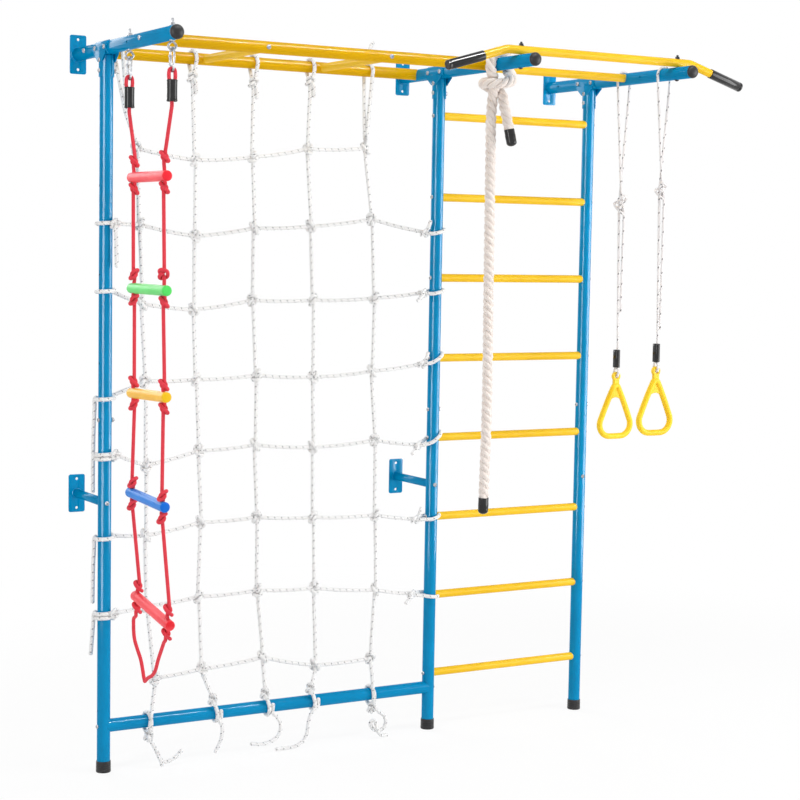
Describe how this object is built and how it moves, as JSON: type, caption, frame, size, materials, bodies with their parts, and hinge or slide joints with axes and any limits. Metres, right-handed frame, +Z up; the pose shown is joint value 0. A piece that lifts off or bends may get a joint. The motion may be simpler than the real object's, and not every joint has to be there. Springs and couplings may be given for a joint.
{
  "type": "wall bars climbing frame",
  "caption": "Wall-mounted steel climbing frame with ladder bars, climbing net, monkey bar, pull-up bar, rope ladder, climbing rope and gymnastic rings.",
  "frame": {"origin": "on the floor, at the centre of the middle foot's underside", "axes": "+Z up along the posts, +Y towards the wall, +X to the right along the wall as seen by the user, who stands on the -Y side"},
  "size_m": [1.9483, 0.7653, 2.119],
  "materials": {
    "blue_paint": "glossy sky-blue powder coat on steel tube",
    "yellow_paint": "glossy golden-yellow powder coat on steel tube",
    "black_rubber": "black rubber, satin",
    "zinc": "bright zinc-plated steel",
    "white_cord": "braided white cord with dark flecks",
    "cotton_rope": "three-strand cream cotton rope",
    "red_rope": "braided red rope",
    "ring_plastic": "moulded yellow plastic",
    "coral_plastic": "moulded coral-red plastic",
    "green_plastic": "moulded light-green plastic",
    "orange_plastic": "moulded orange-yellow plastic",
    "blue_plastic": "moulded blue plastic"
  },
  "bodies": {
    "frame": {"post_left_lower": "blue_paint", "post_left_upper": "blue_paint", "post_middle_lower": "blue_paint", "post_middle_upper": "blue_paint", "post_right_lower": "blue_paint", "post_right_upper": "blue_paint", "foot_left": "black_rubber", "foot_middle": "black_rubber", "foot_right": "black_rubber", "rung_1": "yellow_paint", "rung_2": "yellow_paint", "rung_3": "yellow_paint", "rung_4": "yellow_paint", "rung_5": "yellow_paint", "rung_6": "yellow_paint", "rung_7": "yellow_paint", "rung_8": "yellow_paint", "bottom_bar": "blue_paint", "arm_left": "blue_paint", "arm_middle": "blue_paint", "arm_right": "blue_paint", "arm_cap_left": "black_rubber", "arm_cap_middle": "black_rubber", "arm_cap_right": "black_rubber", "wall_bracket_left": "blue_paint", "wall_bracket_middle": "blue_paint", "clamp_left_left": "blue_paint", "clamp_left_right": "blue_paint", "clamp_middle_left": "blue_paint", "clamp_middle_right": "blue_paint", "clamp_right_left": "blue_paint", "clamp_right_right": "blue_paint", "monkey_rail_rear": "yellow_paint", "monkey_rail_front": "yellow_paint", "monkey_rung_1": "yellow_paint", "monkey_rung_2": "yellow_paint", "ladder_rail": "yellow_paint", "pull_up_bar": "yellow_paint", "grip_left": "black_rubber", "grip_right": "black_rubber", "climbing_net": "white_cord", "eye_bolt_rear": "zinc", "eye_bolt_front": "zinc"},
    "rope_ladder": {"snap_hook_rear": "zinc", "snap_hook_front": "zinc", "ladder_rope": "red_rope", "rope_ladder_rung_1": "coral_plastic", "rope_ladder_rung_2": "green_plastic", "rope_ladder_rung_3": "orange_plastic", "rope_ladder_rung_4": "blue_plastic", "rope_ladder_rung_5": "coral_plastic"},
    "hanging_rope": {"climbing_rope": "cotton_rope", "rope_cap_bottom": "black_rubber", "rope_cap_tail": "black_rubber"},
    "rear_ring_rope": {"ring_rope_rear": "white_cord", "ring_sleeve_rear": "black_rubber"},
    "front_ring_rope": {"ring_rope_front": "white_cord", "ring_sleeve_front": "black_rubber"},
    "rear_ring": {"ring_rear": "ring_plastic"},
    "front_ring": {"ring_front": "ring_plastic"}
  },
  "joints": [
    {"name": "rope_ladder_swing", "type": "hinge", "parent": "frame", "child": "rope_ladder", "pos_m": [-1.09, -0.171, 2.0243], "axis": [0, 1, 0], "range_deg": [-15, 15]},
    {"name": "climbing_rope_swing", "type": "hinge", "parent": "frame", "child": "hanging_rope", "pos_m": [0, -0.3, 2.063], "axis": [0, 1, 0], "range_deg": [-25, 25]},
    {"name": "ring_rear_swing", "type": "hinge", "parent": "frame", "child": "rear_ring_rope", "pos_m": [0.57, -0.185, 2.063], "axis": [0, 1, 0], "range_deg": [-45, 45]},
    {"name": "ring_front_swing", "type": "hinge", "parent": "frame", "child": "front_ring_rope", "pos_m": [0.57, -0.388, 2.063], "axis": [0, 1, 0], "range_deg": [-45, 45]},
    {"name": "ring_rear_turn", "type": "hinge", "parent": "rear_ring_rope", "child": "rear_ring", "pos_m": [0.57, -0.185, 1.124], "axis": [0, 1, 0], "range_deg": [-30, 30]},
    {"name": "ring_front_turn", "type": "hinge", "parent": "front_ring_rope", "child": "front_ring", "pos_m": [0.57, -0.388, 1.154], "axis": [0, 1, 0], "range_deg": [-30, 30]}
  ]
}
